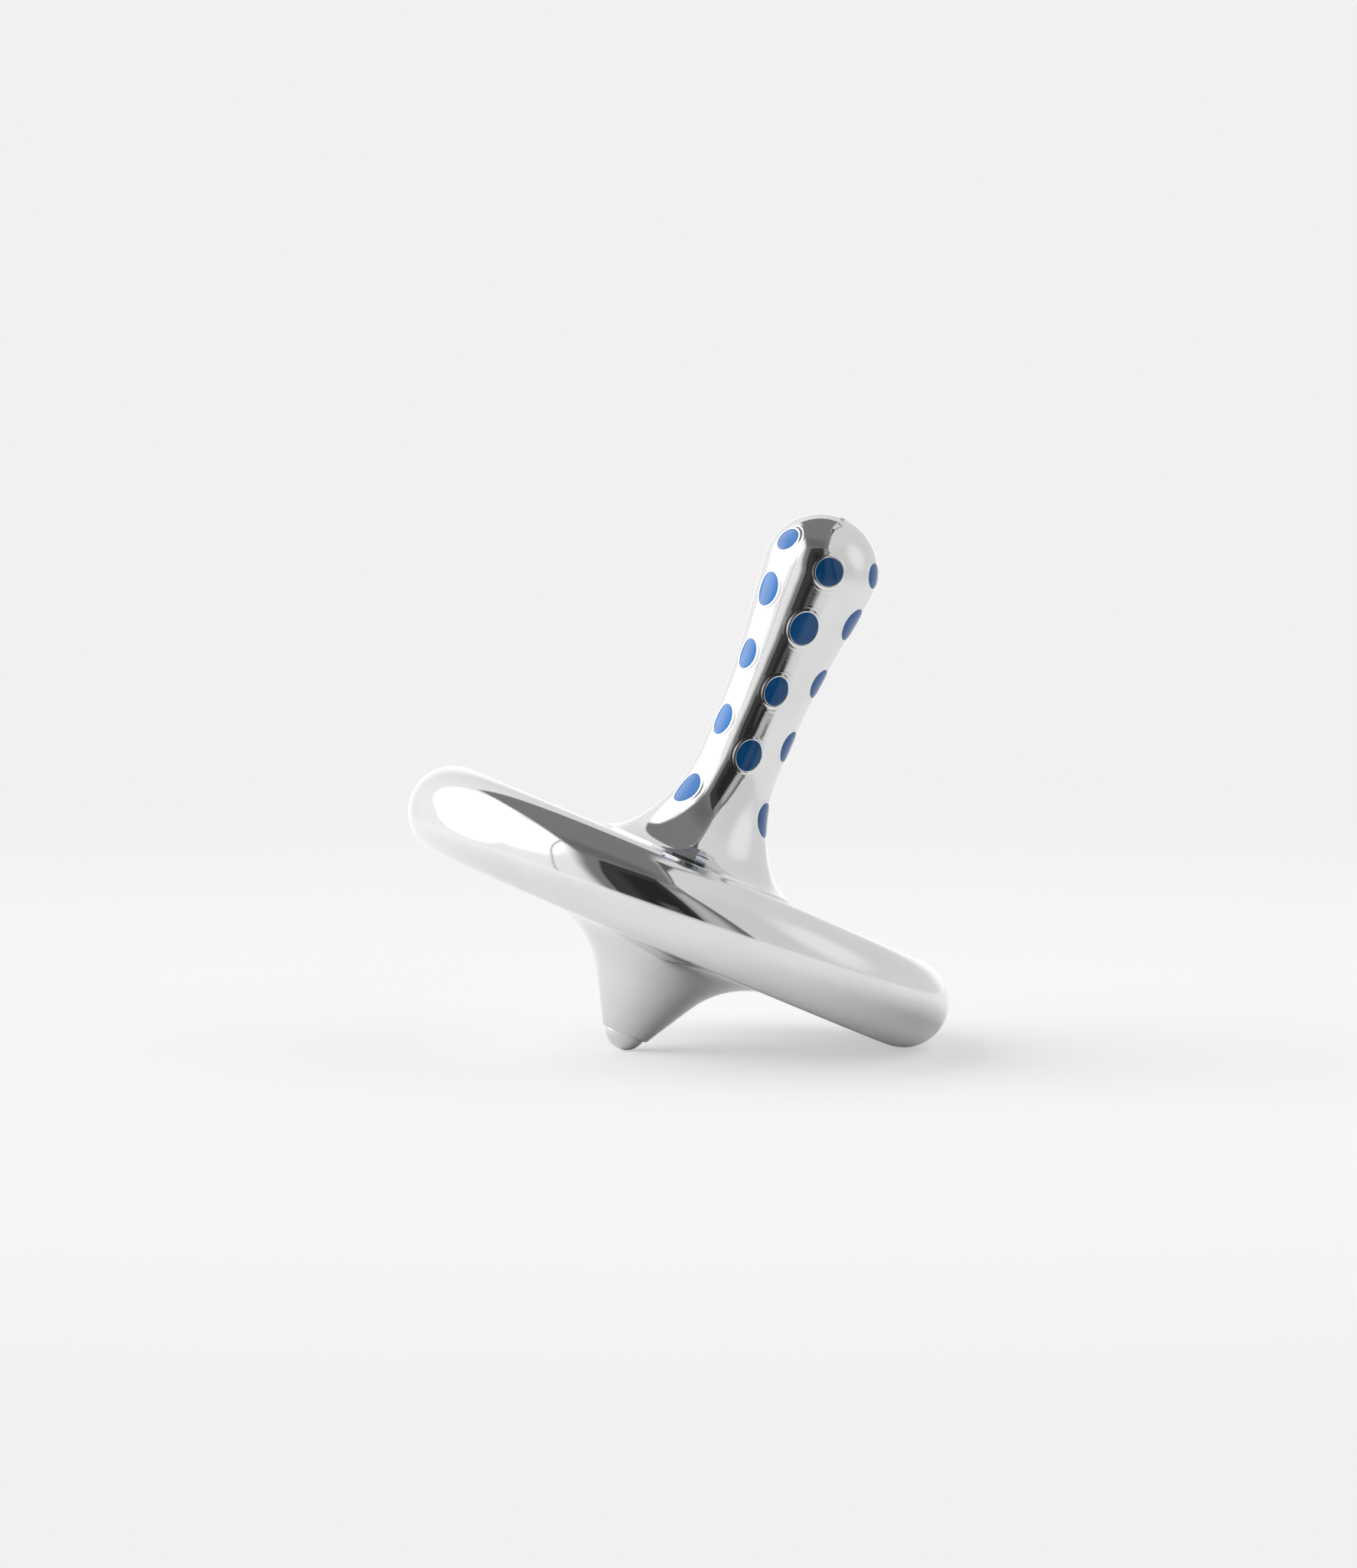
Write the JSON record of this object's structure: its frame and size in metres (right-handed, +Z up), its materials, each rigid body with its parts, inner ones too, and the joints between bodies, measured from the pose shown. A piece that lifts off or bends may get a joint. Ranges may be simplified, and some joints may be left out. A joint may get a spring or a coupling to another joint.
{
  "type": "metal spinning top",
  "caption": "Metal spinning top with a ball-headed stem inlaid with blue enamel dots, a heavy round-rimmed wheel, and a cone holding a steel pivot ball.",
  "frame": {"origin": "point where the pivot ball touches the surface that the top lies on, at rest", "axes": "+Z up; the top leans towards +X and rests on its ball and on its rim at +X; +Y lies across the lean, along the wheel's full width"},
  "size_m": [0.0464, 0.05, 0.0461],
  "materials": {
    "polished_metal": "turned metal polished to a mirror",
    "stud_steel": "plain turned steel",
    "ball_steel": "polished bearing steel",
    "blue_enamel": "glossy vitreous enamel"
  },
  "bodies": {
    "root": {"stem": "polished_metal", "wheel": "polished_metal", "pivot_cone": "polished_metal", "tie_stud": "stud_steel", "pivot_ball": "ball_steel", "enamel_dot_01": "blue_enamel", "enamel_dot_02": "blue_enamel", "enamel_dot_03": "blue_enamel", "enamel_dot_04": "blue_enamel", "enamel_dot_05": "blue_enamel", "enamel_dot_06": "blue_enamel", "enamel_dot_07": "blue_enamel", "enamel_dot_08": "blue_enamel", "enamel_dot_09": "blue_enamel", "enamel_dot_10": "blue_enamel", "enamel_dot_11": "blue_enamel", "enamel_dot_12": "blue_enamel", "enamel_dot_13": "blue_enamel", "enamel_dot_14": "blue_enamel", "enamel_dot_15": "blue_enamel", "enamel_dot_16": "blue_enamel", "enamel_dot_17": "blue_enamel", "enamel_dot_18": "blue_enamel", "enamel_dot_19": "blue_enamel", "enamel_dot_20": "blue_enamel", "enamel_dot_21": "blue_enamel", "enamel_dot_22": "blue_enamel", "enamel_dot_23": "blue_enamel", "enamel_dot_24": "blue_enamel", "enamel_dot_25": "blue_enamel", "enamel_dot_26": "blue_enamel", "enamel_dot_27": "blue_enamel"}
  },
  "joints": []
}
